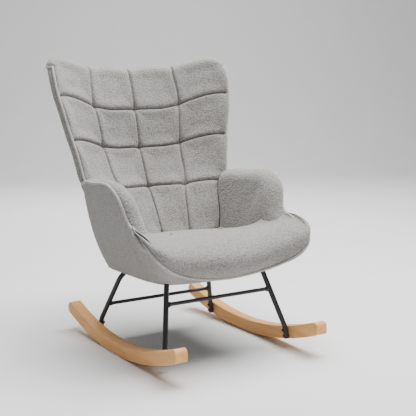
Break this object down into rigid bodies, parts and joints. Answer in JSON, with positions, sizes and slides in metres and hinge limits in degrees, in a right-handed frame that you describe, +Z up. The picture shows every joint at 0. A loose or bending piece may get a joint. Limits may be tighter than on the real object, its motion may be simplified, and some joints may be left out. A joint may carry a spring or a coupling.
{
  "type": "rocking chair",
  "caption": "Upholstered wing-back rocking chair: tufted fabric bucket seat on tubular steel leg hoops that stand on curved wooden rockers.",
  "frame": {"origin": "centre of the underside of the bounding box: on the floor, 6 mm behind the line where the rockers touch it", "axes": "+Z up, -Y the way the sitter faces, +X the sitter's left"},
  "size_m": [0.721, 0.8834, 0.992],
  "materials": {
    "boucle_fabric": "light grey looped pile, matte",
    "dust_cloth": "black non-woven, matte",
    "webbing": "woven elastic, matte",
    "felt": "pressed felt, matte",
    "rocker_wood": "natural beech, satin lacquer",
    "plywood": "raw plywood",
    "black_tube": "satin black powder coat",
    "frame_rod": "black paint",
    "spring_wire": "drawn wire",
    "fastener_black": "black oxide",
    "fastener_zinc": "zinc plated",
    "insert_brass": "plain",
    "plug_plastic": "black moulded"
  },
  "bodies": {
    "root": {"arm_frame_left": "frame_rod", "arm_frame_right": "frame_rod", "arm_inner_pad_left": "boucle_fabric", "arm_inner_pad_right": "boucle_fabric", "arm_outer_pad_left": "boucle_fabric", "arm_outer_pad_right": "boucle_fabric", "back_cover": "boucle_fabric", "back_frame": "frame_rod", "back_pad": "boucle_fabric", "back_rails": "frame_rod", "back_webbing": "webbing", "dust_cover": "dust_cloth", "frame_screws": "fastener_zinc", "front_crossbar": "black_tube", "front_leg_hoop": "black_tube", "front_lip_board": "plywood", "leg_end_plugs": "plug_plastic", "lower_shell": "boucle_fabric", "rear_crossbar": "black_tube", "rear_leg_hoop": "black_tube", "rocker_inserts": "insert_brass", "rocker_left": "rocker_wood", "rocker_right": "rocker_wood", "rocker_screws": "fastener_black", "seat_bolts": "fastener_zinc", "seat_cushion": "boucle_fabric", "seat_frame": "plywood", "seat_mount_plates": "black_tube", "seat_springs": "spring_wire", "seat_washers": "fastener_zinc", "spring_clips": "fastener_zinc", "spring_insulator": "felt", "tee_nuts": "fastener_zinc"}
  },
  "joints": []
}
